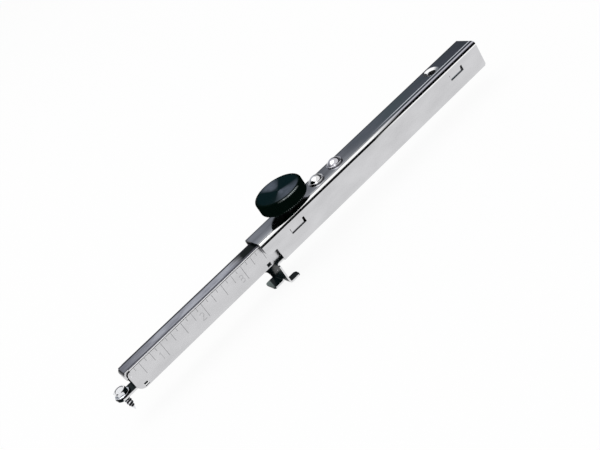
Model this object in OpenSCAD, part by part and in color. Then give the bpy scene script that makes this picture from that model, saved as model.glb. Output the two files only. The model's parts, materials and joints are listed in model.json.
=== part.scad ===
// Sheet metal scribe: a scaled inner channel slides in a folded housing and is held by a knob.
// X runs along the tool, from the scribing point to the far end, and +Z is the knob's side.
// The origin is the middle of the guide's working face, which runs along the edge of the work.

/* [Housing] */
// Outside width of the folded housing
housing_w = 15.6; // [14.4:0.2:18]
// Gap between the ruler and the sheet of the housing's top
top_gap = 0.75; // [0.6:0.05:2]
// Length of the housing
housing_len = 158.3; // [150:0.1:175]
// Thickness of the housing sheet
sheet_t = 0.9; // [0.7:0.05:1]
// Outside radius of the housing's two long bends
bend_r = 2.2; // [1.8:0.1:2.6]
// How far the guide's working face stands behind the housing's near end
face_setback = 1.5; // [1:0.1:2.5]
// Height of the front wall's tongue above the notch
tongue_h = 7.7; // [7:0.1:8.2]
// Length of the notch below the tongue
notch_len = 6.1; // [4.5:0.1:8]
// Corner radius of the tongue
tongue_r = 3; // [1:0.1:4]
// Cut corner at the far end of the side walls
corner_cut = 0.9; // [0.5:0.1:2.5]

/* [Lanced tabs] */
// Distance from the working face to the near tab
near_tab_x = 15; // [14:0.5:18]
// Distance from the housing's far end to the start of the far tab
far_tab_in = 23.5; // [20:0.1:28]
// Length of a tab's window
tab_len = 9.6; // [7:0.1:11]
// Height of a tab's window
tab_h = 3.1; // [2.4:0.1:3.4]
// Depth of a tab's top edge below the top of the housing
tab_drop = 4.8; // [4.4:0.1:5]
// How far a tab's free edge is pushed in
tab_push = 0.7; // [0.5:0.05:1.3]
// Width of the slit at a tab's far end
tab_gap = 1.2; // [0.6:0.1:1.6]
// Width of the thin slits at a tab's near end and free edge
tab_slit = 0.3; // [0.2:0.05:0.5]

/* [Hang hole] */
// Distance from the housing's far end to the hang hole
hang_in = 26.4; // [24:0.1:32]
// Sideways offset of the hang hole
hang_y = 0.8; // [0:0.1:1.2]
// Diameter of the hang hole
hang_d = 5; // [4:0.1:5.6]
// Diameter of the dimple around the hang hole
dimple_d = 9.6; // [7:0.1:10]
// Depth of the dimple's cone
dimple_depth = 0.8; // [0.4:0.05:0.85]
// Depth of the dimple's lip below the top sheet
dimple_lip = 0.5; // [0.1:0.05:0.6]

/* [Ruler] */
// Outside width of the ruler channel
ruler_w = 9.4; // [9:0.1:9.8]
// Outside height of the ruler channel
ruler_h = 12.4; // [12:0.1:12.6]
// Thickness of the ruler sheet
ruler_t = 0.8; // [0.6:0.05:1]
// Outside radius of the ruler's long bends
ruler_bend_r = 0.95; // [0.9:0.05:1.4]
// Distance from the scale's zero to the working face, as set
reading = 90.5; // [88:0.5:92]
// The shortest distance that can be set
closed_reading = 6.35; // [6:0.05:8]
// Distance from the scale's zero to the end of the ruler's side walls
wall_start = 5.1; // [4.9:0.1:6]
// Distance from the scale's zero to the outside of the end flap
flap_start = 4; // [2.5:0.1:4.5]
// Height of the turned-down end flap
flap_h = 4.2; // [3.8:0.1:6]
// Outside radius of the end flap's bend
flap_r = 2.4; // [2:0.1:3]
// Radius of the end flap's lower back corner
flap_corner_r = 3.2; // [1:0.1:4]
// Radius of the end flap's lower front corner
flap_edge_r = 1; // [0.5:0.1:2]
// Gap between the end flap and the side walls
flap_gap = 0.35; // [0.25:0.05:0.5]
// Shortest length of the ruler that stays past the near tab
ruler_keep = 6; // [4:0.5:10]
// Corner radius at the top of the ruler's side walls
corner_top_r = 2.2; // [1.5:0.1:4]
// Corner radius at the bottom of the ruler's side walls
corner_low_r = 4; // [3:0.1:5]
// Height of the stop ears at the ruler's inner end
ear_h = 2.4; // [2:0.1:2.8]
// Side clearance of the stop ears in the housing
ear_clear = 0.15; // [0.1:0.05:0.3]

/* [Scale] */
// One inch
inch = 25.4; // [25.4:25.4]
// Number of graduations in an inch
marks_per_inch = 8; // [4:4:16]
// Number of the first graduation, counted from the scale's zero
first_mark = 2; // [1:1:4]
// Number of the last graduation, counted from the scale's zero
last_mark = 36; // [32:1:38]
// Length of the shortest graduations
mark_short = 2.7; // [2:0.1:3.2]
// Length of the quarter inch graduations
mark_quarter = 5.6; // [4.5:0.1:6]
// Length of the half inch graduations
mark_half = 7.4; // [6.5:0.1:8]
// Length of the whole inch graduations
mark_whole = 8.8; // [8:0.1:9.5]
// Width of the engraved lines
mark_w = 0.2; // [0.15:0.01:0.25]
// Depth of the engraved lines
mark_depth = 0.1; // [0.05:0.01:0.15]
// Height of the numerals
digit_h = 3.8; // [3:0.1:4.2]
// Width of the numerals
digit_w = 2.2; // [1.8:0.1:2.6]
// Line width of the numerals
digit_line = 0.3; // [0.3:0.02:0.5]
// Depth of the numerals
digit_depth = 0.06; // [0.03:0.01:0.15]
// Gap between a numeral and its inch line
digit_gap = 1.6; // [1:0.1:2]
// Depth of the numerals' top below the top of the ruler
digit_drop = 4.4; // [4:0.1:5]

/* [Tip holder] */
// Thickness of the strip that carries the screw
strip_t = 1; // [0.9:0.05:1.2]
// Height of the strip's underside above the ruler's lower edge
strip_lift = 2.05; // [1.8:0.05:2.4]
// How far the strip reaches past the screw's axis
strip_nose = 3.8; // [3:0.1:5.5]
// Corner radius of the strip's nose
strip_nose_r = 3.6; // [1:0.1:3.6]
// Distance from the scale's zero to the first pair of lugs
lug_first = 8.4; // [8:0.1:9.5]
// Distance between the two pairs of lugs
lug_pitch = 78.6; // [70:0.1:80]
// Length of a lug's window in the ruler wall
window_len = 2.4; // [2:0.1:3]
// Height of a lug's window in the ruler wall
window_h = 1.8; // [1.6:0.05:1.9]
// Depth of a window's top edge below the top of the strip
window_drop = 0.7; // [0.5:0.05:0.8]
// Depth of a lug's end below the face of the ruler wall
lug_inset = 0.4; // [0:0.05:0.6]
// Clearance of a lug in its window
lug_clear = 0.2; // [0.1:0.02:0.25]

/* [Scribing screw] */
// Distance from the screw's axis to the scale's zero
screw_lead = 1; // [0:0.1:1.5]
// Width of the hex head across its flats
hex_af = 5.5; // [5:0.1:6]
// Height of the hex head above its flange
hex_h = 2.3; // [2:0.1:3]
// Turn of the hex head about its axis
hex_turn = 40; // [0:1:60]
// Diameter of the head's flange
flange_d = 8.2; // [7.8:0.1:8.6]
// Thickness of the head's flange
flange_t = 0.95; // [0.6:0.05:1]
// Length of the screw under its flange
screw_len = 9.7; // [8:0.1:11]
// Outside diameter of the thread
thread_d = 3.3; // [3:0.1:3.6]
// Core diameter of the thread
core_d = 2.5; // [2.2:0.1:2.6]
// Pitch of the thread
thread_pitch = 1.5; // [1.2:0.01:1.6]
// Length of the tapered point
point_len = 4.2; // [3.5:0.1:5]
// Length of the point's bare end
point_end = 0.5; // [0.3:0.1:1]
// Radial clearance of the thread in the strip
screw_clear = 0.06; // [0.04:0.01:0.1]

/* [Edge guide] */
// Height of the working face, from the feet to the housing's lower edge
face_h = 10.8; // [10:0.1:12]
// Reach of the back foot towards the tip
back_foot_reach = 6; // [4:0.1:6.5]
// Width of the back foot
back_foot_w = 9.4; // [8:0.1:10]
// Reach of the front foot towards the far end
front_foot_reach = 6.8; // [5:0.1:8]
// Width of the front foot
front_foot_w = 4.8; // [4:0.1:5]
// Inside radius of the guide's bends
guide_bend_r = 0.7; // [0.5:0.05:1]
// Corner radius of the feet
foot_r = 1.5; // [1:0.1:2.3]
// Length of the guide's floor under the ruler
guide_floor_len = 12; // [9:0.5:13]
// Reach of the back ear towards the tip
ear_reach = 3.6; // [3:0.1:4]
// Reach of the back ear at the feet
ear_waist = 1; // [0.7:0.1:1.5]
// Height of the back ear's curved edge
ear_curve = 5.5; // [4:0.1:8]
// Diameter of the small hole in the guide plate
guide_hole_d = 1.2; // [1:0.1:1.6]
// Sideways place of the small hole, from the plate's front edge
guide_hole_in = 5.1; // [2:0.1:6]
// Depth of the small hole below the housing
guide_hole_drop = 4.1; // [2:0.1:6]

/* [Floor channel] */
// Thickness of the floor channel and of the guide's floor
floor_t = 0.9; // [0.7:0.05:1]
// Gap between the side walls' top edge and the tabs
floor_wall_gap = 0.3; // [0.2:0.05:1]
// Clearance between the ruler and its floor
floor_clear = 0.05; // [0.03:0.01:0.1]
// Gap between the guide's floor and the floor channel
floor_gap = 0.3; // [0.2:0.05:0.5]
// Width of a pressed guide bead
bead_w = 2.4; // [2:0.1:3]
// Clearance between the guide beads and the ruler
bead_clear = 0.1; // [0.06:0.01:0.2]

/* [Knob] */
// Outside diameter of the knob
knob_d = 25.4; // [22:0.1:27]
// Height of the knob's rim
knob_h = 7.1; // [6:0.1:8]
// Gap between the housing and the knob's rim
knob_lift = 4; // [3.6:0.1:5]
// Number of knurl teeth
knurl_count = 72; // [60:4:90]
// Depth of the knurl teeth
knurl_depth = 0.45; // [0.3:0.05:0.6]
// Chamfer of the knob's two edges
knob_chamfer = 0.9; // [0.5:0.1:1.2]
// Diameter of the dished face
dish_d = 21.6; // [18:0.1:22]
// Depth of the dished face
dish_depth = 0.7; // [0.3:0.1:1]
// Diameter of the knob's hub
hub_d = 11; // [9:0.1:13]
// Distance from the working face to the knob's axis
knob_x = 23.9; // [23:0.1:25]
// Height of the knob's hub above the bush when it clamps
hub_gap = 0.4; // [0.3:0.05:0.6]

/* [Clamp] */
// Diameter of the clamp stud
stud_d = 4.9; // [4.4:0.05:5]
// Radial clearance of the stud in the bush
stud_clear = 0.06; // [0.04:0.01:0.09]
// How deep the stud is pressed into the knob
stud_seat = 3.6; // [3:0.1:4.5]
// Diameter of the bush's collar
collar_d = 9.5; // [8.5:0.1:10.5]
// Height of the bush's collar
collar_h = 2.2; // [2:0.1:2.6]
// Diameter of the bush's shank in the housing
shank_d = 7; // [6.4:0.1:7.6]
// Height of the brass shoe's foot
shoe_h = 1.6; // [1.2:0.1:1.8]
// Diameter of the brass shoe's foot
shoe_d = 4.2; // [3.8:0.1:4.3]
// Diameter of the shoe's spigot
spigot_d = 1.8; // [1.5:0.1:2.2]
// Height of the shoe's spigot
spigot_h = 1.5; // [1:0.1:2]
// Clearance of the spigot in the stud
spigot_clear = 0.08; // [0.04:0.01:0.09]
// Gap between the shoe and the ruler
shoe_gap = 0.05; // [0.03:0.01:0.1]

/* [Drag spring] */
// Distance from the working face to the front rivet
rivet_x = 43.5; // [42:0.5:46]
// Distance between the two rivets
rivet_pitch = 13.2; // [11:0.1:15]
// Sideways offset of the two rivets
rivet_y = 0.5; // [0:0.1:0.6]
// Diameter of a rivet's head
rivet_head_d = 8.8; // [7:0.1:9]
// Height of a rivet's head
rivet_head_h = 2.9; // [1.6:0.1:3.4]
// Diameter of the dome on a rivet's head
rivet_dome_d = 7.6; // [6:0.1:8]
// Height of the low shoulder around the dome
rivet_shoulder_h = 1.3; // [0.6:0.1:1.6]
// Diameter of a rivet's shank
rivet_d = 3.2; // [2.6:0.1:3.6]
// Thickness of the leaf
leaf_t = 0.3; // [0.2:0.02:0.35]
// Width of the leaf
leaf_w = 6; // [5:0.1:7]
// Reach of the leaf's bowed ends past the rivets
leaf_reach = 9; // [7:0.1:10]
// Length of a bowed end's slope
leaf_slope = 4; // [3:0.1:5]
// Gap between the leaf's ends and the ruler
leaf_gap = 0.06; // [0.04:0.01:0.1]

/* [Hidden] */
over = 0.5;
round_fn = 64;
fine_fn = 32;
// Shares: the ridge's part of a turn, the point's end and the hex's top rim against their full
// radius, and the opening of a numeral's bowl against its own radius
thread_share = 0.62;
point_share = 0.16;
hex_top_share = 0.93;
bowl_share = 0.55;
thread_steps = 8;
shank_sides = 20;

// Heights, worked out from the feet upwards
housing_h = floor_t + floor_clear + ruler_h + top_gap + sheet_t;
housing_bottom = face_h / 2;
housing_top = housing_bottom + housing_h;
under_top = housing_top - sheet_t;
floor_top = housing_bottom + floor_t;
ruler_bottom = floor_top + floor_clear;
ruler_top = ruler_bottom + ruler_h;
strip_top = ruler_bottom + strip_lift + strip_t;
window_top = strip_top - window_drop;
collar_top = housing_top + collar_h;
knob_bottom = housing_top + knob_lift;
knob_top = knob_bottom + knob_h;
foot_top = -face_h / 2;
floor_wall_h = housing_h - tab_drop - tab_h - floor_wall_gap;

// Lengths, worked out from the working face
housing_start = -face_setback;
housing_end = housing_start + housing_len;
far_tab_x = housing_end - far_tab_in;
hang_x = housing_end - hang_in;
zero_x = -reading;
screw_x = zero_x - screw_lead;
stroke_in = reading - closed_reading;
ruler_end = max(far_tab_x - stroke_in - tab_slit, near_tab_x + tab_len + ruler_keep);
floor_start = sheet_t + guide_floor_len + floor_gap;

// Half widths
housing_y = housing_w / 2;
inner_y = housing_y - sheet_t;
floor_y = inner_y - floor_t;
ruler_y = ruler_w / 2;
strip_y = ruler_y - ruler_t;

// A solid that extrudes a Y-Z outline along X
module along_x(start, length) {
    translate([start, 0, 0]) rotate([90, 0, 90]) linear_extrude(length) children();
}

// A solid that extrudes an X-Z outline through the thickness of a wall at y
module wall(y, thickness) {
    translate([0, y + thickness, 0]) rotate([90, 0, 0]) linear_extrude(thickness) children();
}

// Outline of an inverted channel, with its top corners rounded
module channel_outline(half_w, top, bottom, r) {
    translate([-half_w, bottom]) square([half_w * 2, top - bottom - r]);
    translate([-half_w + r, top - r - over]) square([(half_w - r) * 2, r + over]);
    for (side = [-1, 1])
        translate([side * (half_w - r), top - r]) circle(r, $fn = round_fn);
}

// Outline of an inverted channel of sheet
module channel_sheet(half_w, top, bottom, r, t) {
    difference() {
        channel_outline(half_w, top, bottom, r);
        channel_outline(half_w - t, top - t, bottom - over, r - t);
    }
}

// Outline of an upright channel of sheet, open at its top
module floor_sheet(half_w, bottom, height, t) {
    difference() {
        translate([-half_w, bottom]) square([half_w * 2, height]);
        translate([-half_w + t, bottom + t]) square([(half_w - t) * 2, height]);
    }
}

// Square with one rounded corner at its origin, used to round a wall's corner
module corner_waste(r) {
    difference() {
        translate([-over, -over]) square(r + over);
        translate([r, r]) circle(r, $fn = round_fn);
    }
}

// Window of a lanced tab, cut right through the side wall
module tab_window(x, side) {
    y0 = side > 0 ? inner_y - over : -housing_y - over;
    translate([x, y0, housing_top - tab_drop - tab_h])
        cube([tab_len, sheet_t + over * 2, tab_h]);
}

// Tab that hangs in its window from the top edge and is pushed in at its free edge
module lanced_tab(x, side) {
    top = housing_top - tab_drop;
    low = top - tab_h + tab_slit;
    length = tab_len - tab_gap - tab_slit;
    along_x(x + tab_slit, length)
        polygon([[side * housing_y, top], [side * inner_y, top],
                 [side * (inner_y - tab_push), low], [side * (housing_y - tab_push), low]]);
}

// Sheet that the dimple of the hang hole presses down
module dimple_sheet() {
    translate([hang_x, hang_y, under_top - dimple_lip])
        cylinder(h = dimple_lip + sheet_t / 2, r1 = hang_d / 2 + sheet_t / 2, r2 = dimple_d / 2,
                 $fn = round_fn);
}

// Round hole of the dimple, with its cone
module dimple_hole() {
    translate([hang_x, hang_y, 0]) {
        translate([0, 0, under_top - dimple_lip - over])
            cylinder(h = sheet_t + dimple_lip + over, r = hang_d / 2, $fn = round_fn);
        translate([0, 0, housing_top - dimple_depth])
            cylinder(h = dimple_depth, r1 = hang_d / 2, r2 = dimple_d / 2, $fn = round_fn);
    }
}

// Folded outer channel
module housing() {
    color("silver") difference() {
        union() {
            difference() {
                along_x(housing_start, housing_len)
                    channel_sheet(housing_y, housing_top, housing_bottom, bend_r, sheet_t);
                near_end_cut();
                for (x = [near_tab_x, far_tab_x], side = [-1, 1]) tab_window(x, side);
                far_corner_cut();
            }
            for (x = [near_tab_x, far_tab_x], side = [-1, 1]) lanced_tab(x, side);
            dimple_sheet();
        }
        dimple_hole();
        translate([knob_x, 0, under_top - over])
            cylinder(h = sheet_t + over * 2, r = shank_d / 2, $fn = round_fn);
        for (x = [rivet_x, rivet_x + rivet_pitch])
            translate([x, rivet_y, under_top - over])
                cylinder(h = sheet_t + over * 2, r = rivet_d / 2, $fn = round_fn);
    }
}

// The notch below the front wall's tongue, and the tongue's rounded corner
module near_end_cut() {
    tongue_z = housing_top - tongue_h;
    wall(-housing_y - over, sheet_t + bend_r) {
        translate([housing_start - over, housing_bottom - over])
            square([notch_len + over, tongue_z - housing_bottom + over]);
        translate([housing_start, tongue_z]) corner_waste(tongue_r);
    }
}

// Cut corners at the far end of both side walls
module far_corner_cut() {
    wall(-housing_y - over, housing_w + over * 2)
        polygon([[housing_end - corner_cut, housing_bottom], [housing_end, housing_bottom + corner_cut],
                 [housing_end + over, housing_bottom + corner_cut],
                 [housing_end + over, housing_bottom - over],
                 [housing_end - corner_cut, housing_bottom - over]]);
}

// Pressed bead on the inside of a side wall, which keeps the ruler in the middle
module guide_bead(x, side) {
    reach = floor_y - ruler_y - bead_clear;
    low = floor_top + over;
    height = floor_wall_h - floor_t - over * 2;
    translate([x, side * (floor_y - reach / 2), low + height / 2])
        cube([bead_w, reach, height], center = true);
}

// Inner channel that closes the housing's bottom
module floor_channel() {
    length = housing_end - corner_cut - floor_start;
    color("gainsboro") {
        along_x(floor_start, length) floor_sheet(inner_y, housing_bottom, floor_wall_h, floor_t);
        for (x = [floor_start + bead_w, far_tab_x], side = [-1, 1]) guide_bead(x, side);
    }
}

// Folded guide: working plate, two feet, back ear, and the floor that goes up into the housing
module edge_guide() {
    bend_out = guide_bend_r + floor_t;
    plate_top = floor_top - bend_out;
    plate_low = foot_top + guide_bend_r;
    color("darkgray") {
        difference() {
            union() {
                translate([0, -housing_y, plate_low])
                    cube([floor_t, housing_w, plate_top - plate_low]);
                guide_ear();
            }
            guide_hole();
        }
        guide_bend(bend_out, plate_top, inner_y * 2);
        translate([bend_out, -inner_y, housing_bottom])
            cube([guide_floor_len + floor_t - bend_out, inner_y * 2, floor_t]);
        guide_wings();
        back_foot(bend_out);
        front_foot(bend_out);
    }
}

// Quarter bend from the plate's top into the floor
module guide_bend(bend_out, plate_top, width) {
    translate([bend_out, width / 2, plate_top]) rotate([90, 0, 0]) linear_extrude(width)
        difference() {
            circle(bend_out, $fn = round_fn);
            circle(guide_bend_r, $fn = round_fn);
            translate([0, -bend_out - over]) square(bend_out * 2 + over * 2);
            translate([-bend_out - over, -bend_out - over])
                square([bend_out * 2 + over * 2, bend_out + over]);
        }
}

// Side wings of the guide's floor, which lie against the housing's walls behind the notch
module guide_wings() {
    start = housing_start + notch_len + floor_gap;
    length = guide_floor_len + floor_t - start;
    along_x(start, length) floor_sheet(inner_y, housing_bottom, floor_wall_h, floor_t);
    for (side = [-1, 1]) guide_bead(start + bead_w, side);
}

// Ear along the plate's back edge, bent towards the tip, whose edge curves in to the feet
module guide_ear() {
    top = housing_bottom - floor_gap;
    curve_share = (ear_reach - ear_waist) / ear_curve;
    wall(housing_y - floor_t, floor_t)
        difference() {
            translate([-ear_reach, foot_top]) square([ear_reach + floor_t, top - foot_top]);
            translate([-ear_reach, foot_top]) scale([curve_share, 1])
                circle(ear_curve, $fn = round_fn);
        }
}

module guide_hole() {
    translate([-over, -housing_y + guide_hole_in, housing_bottom - guide_hole_drop])
        rotate([0, 90, 0]) cylinder(h = floor_t + over * 2, r = guide_hole_d / 2, $fn = fine_fn);
}

// Quarter bend from the plate into a foot; side is -1 towards the tip and 1 towards the far end
module foot_bend(bend_out, y0, width, side) {
    centre_x = side > 0 ? bend_out : floor_t - bend_out;
    translate([centre_x, y0 + width, foot_top + guide_bend_r]) rotate([90, 0, 0])
        linear_extrude(width) difference() {
            circle(bend_out, $fn = round_fn);
            circle(guide_bend_r, $fn = round_fn);
            translate([-bend_out - over, 0]) square([bend_out * 2 + over * 2, bend_out + over]);
            translate([side > 0 ? 0 : -bend_out - over, -bend_out - over])
                square([bend_out + over, bend_out * 2 + over]);
        }
}

// Flat of a foot, with rounded corners at its free end
module foot_flat(x0, reach, y0, width, r, side) {
    translate([0, 0, foot_top - floor_t]) linear_extrude(floor_t)
        difference() {
            translate([side > 0 ? x0 : x0 - reach, y0]) square([reach, width]);
            translate([x0 + side * reach, y0])
                mirror([side > 0 ? 1 : 0, 0, 0]) corner_waste(r);
            translate([x0 + side * reach, y0 + width]) mirror([0, 1, 0])
                mirror([side > 0 ? 1 : 0, 0, 0]) corner_waste(r);
        }
}

module back_foot(bend_out) {
    y0 = housing_y - back_foot_w;
    x0 = floor_t - bend_out;
    foot_bend(bend_out, y0, back_foot_w, -1);
    foot_flat(x0, back_foot_reach + x0, y0, back_foot_w, foot_r, -1);
}

module front_foot(bend_out) {
    foot_bend(bend_out, -housing_y, front_foot_w, 1);
    foot_flat(bend_out, front_foot_reach - bend_out, -housing_y, front_foot_w, foot_r, 1);
}

// Folded inner channel with the engraved scale
module ruler() {
    start = zero_x + wall_start;
    length = ruler_end - start;
    color("lightgray") difference() {
        union() {
            difference() {
                along_x(start, length)
                    channel_sheet(ruler_y, ruler_top, ruler_bottom, ruler_bend_r, ruler_t);
                ruler_corners(start);
            }
            end_flap(start);
            for (side = [-1, 1]) stop_ear(side);
        }
        for (lug = [lug_first, lug_first + lug_pitch]) lug_window(lug);
        scale_marks();
        scale_digits();
    }
}

// Rounded corners of both side walls at the tip, with the slit beside the end flap
module ruler_corners(start) {
    top_z = ruler_top - ruler_t;
    for (y = [-ruler_y - over, strip_y])
        wall(y, ruler_t + over) {
            translate([start, ruler_bottom]) corner_waste(corner_low_r);
            translate([start, top_z]) mirror([0, 1, 0]) corner_waste(corner_top_r);
        }
    for (side = [-1, 1])
        translate([start, side * (ruler_y - ruler_bend_r / 2), ruler_top])
            cube([corner_top_r * 2, ruler_bend_r, ruler_t * 2 + flap_gap * 2], center = true);
}

// Turned-down end of the top, which closes the channel at the tip
module end_flap(start) {
    x0 = zero_x + flap_start;
    half = ruler_y - ruler_bend_r;
    low = ruler_top - flap_h;
    difference() {
        union() {
            translate([x0 + flap_r, half, ruler_top - flap_r]) rotate([90, 0, 0])
                linear_extrude(half * 2) flap_bend();
            translate([x0, -half, low]) cube([ruler_t, half * 2, flap_h - flap_r]);
        }
        along_x(x0 - over, flap_r + over) {
            translate([-half, low]) corner_waste(flap_edge_r);
            translate([half, low]) mirror([1, 0, 0]) corner_waste(flap_corner_r);
        }
    }
    translate([x0 + flap_r, -half, ruler_top - ruler_t])
        cube([start + corner_top_r * 2 - x0 - flap_r, half * 2, ruler_t]);
}

// Outline of the quarter bend of the end flap
module flap_bend() {
    difference() {
        circle(flap_r, $fn = round_fn);
        circle(flap_r - ruler_t, $fn = round_fn);
        translate([0, -flap_r - over]) square(flap_r * 2 + over * 2);
        translate([-flap_r - over, -flap_r - over]) square([flap_r * 2 + over * 2, flap_r + over]);
    }
}

// Ear that stands out from the wall's inner end and stops against the housing's tabs
module stop_ear(side) {
    reach = inner_y - ear_clear - strip_y;
    top = housing_top - tab_drop - tab_slit;
    translate([ruler_end - ruler_t, side > 0 ? strip_y : -strip_y - reach, top - ear_h])
        cube([ruler_t, reach, ear_h]);
}

// Window low in both side walls for a lug of the tip holder
module lug_window(lug) {
    translate([zero_x + lug, -ruler_y - over, window_top - window_h])
        cube([window_len, ruler_w + over * 2, window_h]);
}

function mark_reach(i) =
    i % marks_per_inch == 0 ? mark_whole :
    i % (marks_per_inch / 2) == 0 ? mark_half :
    i % (marks_per_inch / 4) == 0 ? mark_quarter : mark_short;

// Engraved graduations on the front wall
module scale_marks() {
    for (i = [first_mark : last_mark])
        translate([zero_x + i * inch / marks_per_inch - mark_w / 2, -ruler_y - over,
                   ruler_top - mark_reach(i)])
            cube([mark_w, over + mark_depth, mark_reach(i) - ruler_bend_r]);
}

// Engraved numerals, each on the tip's side of its inch line
module scale_digits() {
    for (n = [1 : floor(last_mark / marks_per_inch)])
        translate([zero_x + n * inch - digit_gap - digit_w, -ruler_y + digit_depth,
                   ruler_top - digit_drop - digit_h])
            rotate([90, 0, 0]) linear_extrude(over + digit_depth) digit(n);
}

// Straight stroke of a numeral between two points given as shares of its width and height
module stroke(a_share, b_share) {
    a = [a_share[0] * digit_w, a_share[1] * digit_h];
    b = [b_share[0] * digit_w, b_share[1] * digit_h];
    d = b - a;
    translate(a) rotate(atan2(d[1], d[0])) translate([-digit_line / 2, -digit_line / 2])
        square([norm(d) + digit_line, digit_line]);
}

// Round bowl of a numeral: a ring that opens to the left
module bowl(centre_share, r_share) {
    r = r_share * digit_h;
    translate([centre_share[0] * digit_w, centre_share[1] * digit_h]) difference() {
        circle(r + digit_line / 2, $fn = fine_fn);
        circle(r - digit_line / 2, $fn = fine_fn);
        translate([-r * 2, -r * bowl_share]) square([r * 2, r * bowl_share * 2]);
    }
}

// Numerals 1 to 4, drawn plainly
module digit(n) {
    if (n == 1) {
        stroke([0.5, 0], [0.5, 1]);
        stroke([0.2, 0.8], [0.5, 1]);
    } else if (n == 2) {
        difference() {
            bowl([0.5, 0.74], 0.26);
            translate([-digit_w, 0]) square([digit_w * 1.5, digit_h * 0.74]);
        }
        stroke([0.92, 0.64], [0.06, 0]);
        stroke([0.06, 0], [1, 0]);
    } else if (n == 3) {
        bowl([0.5, 0.76], 0.24);
        bowl([0.5, 0.26], 0.26);
    } else {
        stroke([0.75, 0], [0.75, 1]);
        stroke([0.75, 1], [0, 0.32]);
        stroke([0, 0.32], [1, 0.32]);
    }
}

// Strip inside the ruler: it carries the screw and is held by lugs in the side walls
module tip_holder() {
    length = strip_nose + screw_lead + lug_first + lug_pitch + window_len * 2;
    x0 = screw_x - strip_nose;
    y0 = strip_y - lug_clear / 2;
    color("dimgray") difference() {
        union() {
            translate([0, 0, strip_top - strip_t]) linear_extrude(strip_t) difference() {
                translate([x0, -y0]) square([length, y0 * 2]);
                translate([x0, -y0]) corner_waste(strip_nose_r);
                translate([x0, y0]) mirror([0, 1, 0]) corner_waste(strip_nose_r);
            }
            for (lug = [lug_first, lug_first + lug_pitch], side = [-1, 1]) turned_lug(lug, side, y0);
        }
        translate([screw_x, 0, strip_top - strip_t - over])
            cylinder(h = strip_t + over * 2, r = thread_d / 2 + screw_clear, $fn = round_fn);
    }
}

// Lug of the strip: a leg turned down inside the side wall, with a foot out in the window
module turned_lug(lug, side, leg_y) {
    length = window_len - lug_clear * 2;
    foot_reach = ruler_y - lug_inset - leg_y + strip_t;
    foot_z = window_top - lug_clear - strip_t;
    translate([zero_x + lug + lug_clear, side > 0 ? leg_y - strip_t : -leg_y, foot_z])
        cube([length, strip_t, strip_top - foot_z]);
    translate([zero_x + lug + lug_clear, side > 0 ? leg_y - strip_t : -leg_y + strip_t - foot_reach, foot_z])
        cube([length, foot_reach, strip_t]);
}

// Radius of the shank at a height and an angle: the core, the thread ridge and the tapered point
function shank_r(z, a) =
    let (turn = z / thread_pitch + a / 360, f = abs(turn - floor(turn) - 0.5) * 2,
         ridge = max(0, 1 - f / thread_share),
         along = max(0, (z + screw_len - point_end) / (point_len - point_end)),
         taper = min(1, point_share + (1 - point_share) * along),
         crest = (thread_d - core_d) / 2)
    (core_d / 2 + crest * ridge) * taper;

// Threaded shank with its sharp point, as one skin of rings
module threaded_shank() {
    sides = shank_sides;
    length = screw_len - point_end + flange_t / 2;
    steps = round(length / thread_pitch * thread_steps);
    rings = [for (i = [0 : steps]) for (j = [0 : sides - 1])
        let (z = flange_t / 2 - i * length / steps, a = j * 360 / sides, r = shank_r(min(z, 0), a))
        [r * cos(a), r * sin(a), z]];
    points = concat(rings, [[0, 0, -screw_len]]);
    last = steps * sides;
    skin = [for (i = [0 : steps - 1]) for (j = [0 : sides - 1])
        let (n = (j + 1) % sides, a = i * sides + j, b = i * sides + n, c = b + sides, d = a + sides)
        each [[a, b, c], [a, c, d]]];
    cap = [for (j = [1 : sides - 2]) [0, j + 1, j]];
    end_point = len(rings);
    tip = [for (j = [0 : sides - 1]) [last + j, last + (j + 1) % sides, end_point]];
    polyhedron(points, concat(skin, cap, tip));
}

// Screw with a hex washer head; its sharp point does the scribing
module scribing_screw() {
    hex_r = hex_af / 2 / cos(30);
    color("gray") translate([screw_x, 0, strip_top]) {
        cylinder(h = flange_t, r1 = flange_d / 2, r2 = flange_d / 2 - flange_t / 4, $fn = round_fn);
        translate([0, 0, flange_t]) rotate(hex_turn) intersection() {
            cylinder(h = hex_h, r = hex_r, $fn = 6);
            cylinder(h = hex_h, r1 = hex_r + hex_h, r2 = hex_r * hex_top_share, $fn = round_fn);
        }
        threaded_shank();
    }
}

// Threaded bush, clinched into the housing's top
module clamp_bush() {
    color("gray") translate([knob_x, 0, 0]) difference() {
        union() {
            translate([0, 0, under_top]) cylinder(h = sheet_t, r = shank_d / 2, $fn = round_fn);
            translate([0, 0, housing_top]) cylinder(h = collar_h, r = collar_d / 2, $fn = round_fn);
        }
        translate([0, 0, under_top - over])
            cylinder(h = sheet_t + collar_h + over * 2, r = stud_d / 2 + stud_clear, $fn = round_fn);
    }
}

// Brass shoe, which the stud presses on the ruler; it swivels on its spigot
module clamp_shoe() {
    color("goldenrod") translate([knob_x, 0, ruler_top + shoe_gap]) {
        cylinder(h = shoe_h, r = shoe_d / 2, $fn = round_fn);
        translate([0, 0, shoe_h]) cylinder(h = spigot_h, r = spigot_d / 2, $fn = fine_fn);
    }
}

// Clamp stud, pressed into the knob
module clamp_stud() {
    low = ruler_top + shoe_gap + shoe_h + spigot_clear;
    color("gray") translate([knob_x, 0, 0]) difference() {
        translate([0, 0, low])
            cylinder(h = knob_bottom + stud_seat - low, r = stud_d / 2, $fn = round_fn);
        translate([0, 0, low - over]) cylinder(h = spigot_h + over + spigot_clear,
                 r = spigot_d / 2 + spigot_clear, $fn = fine_fn);
    }
}

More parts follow.
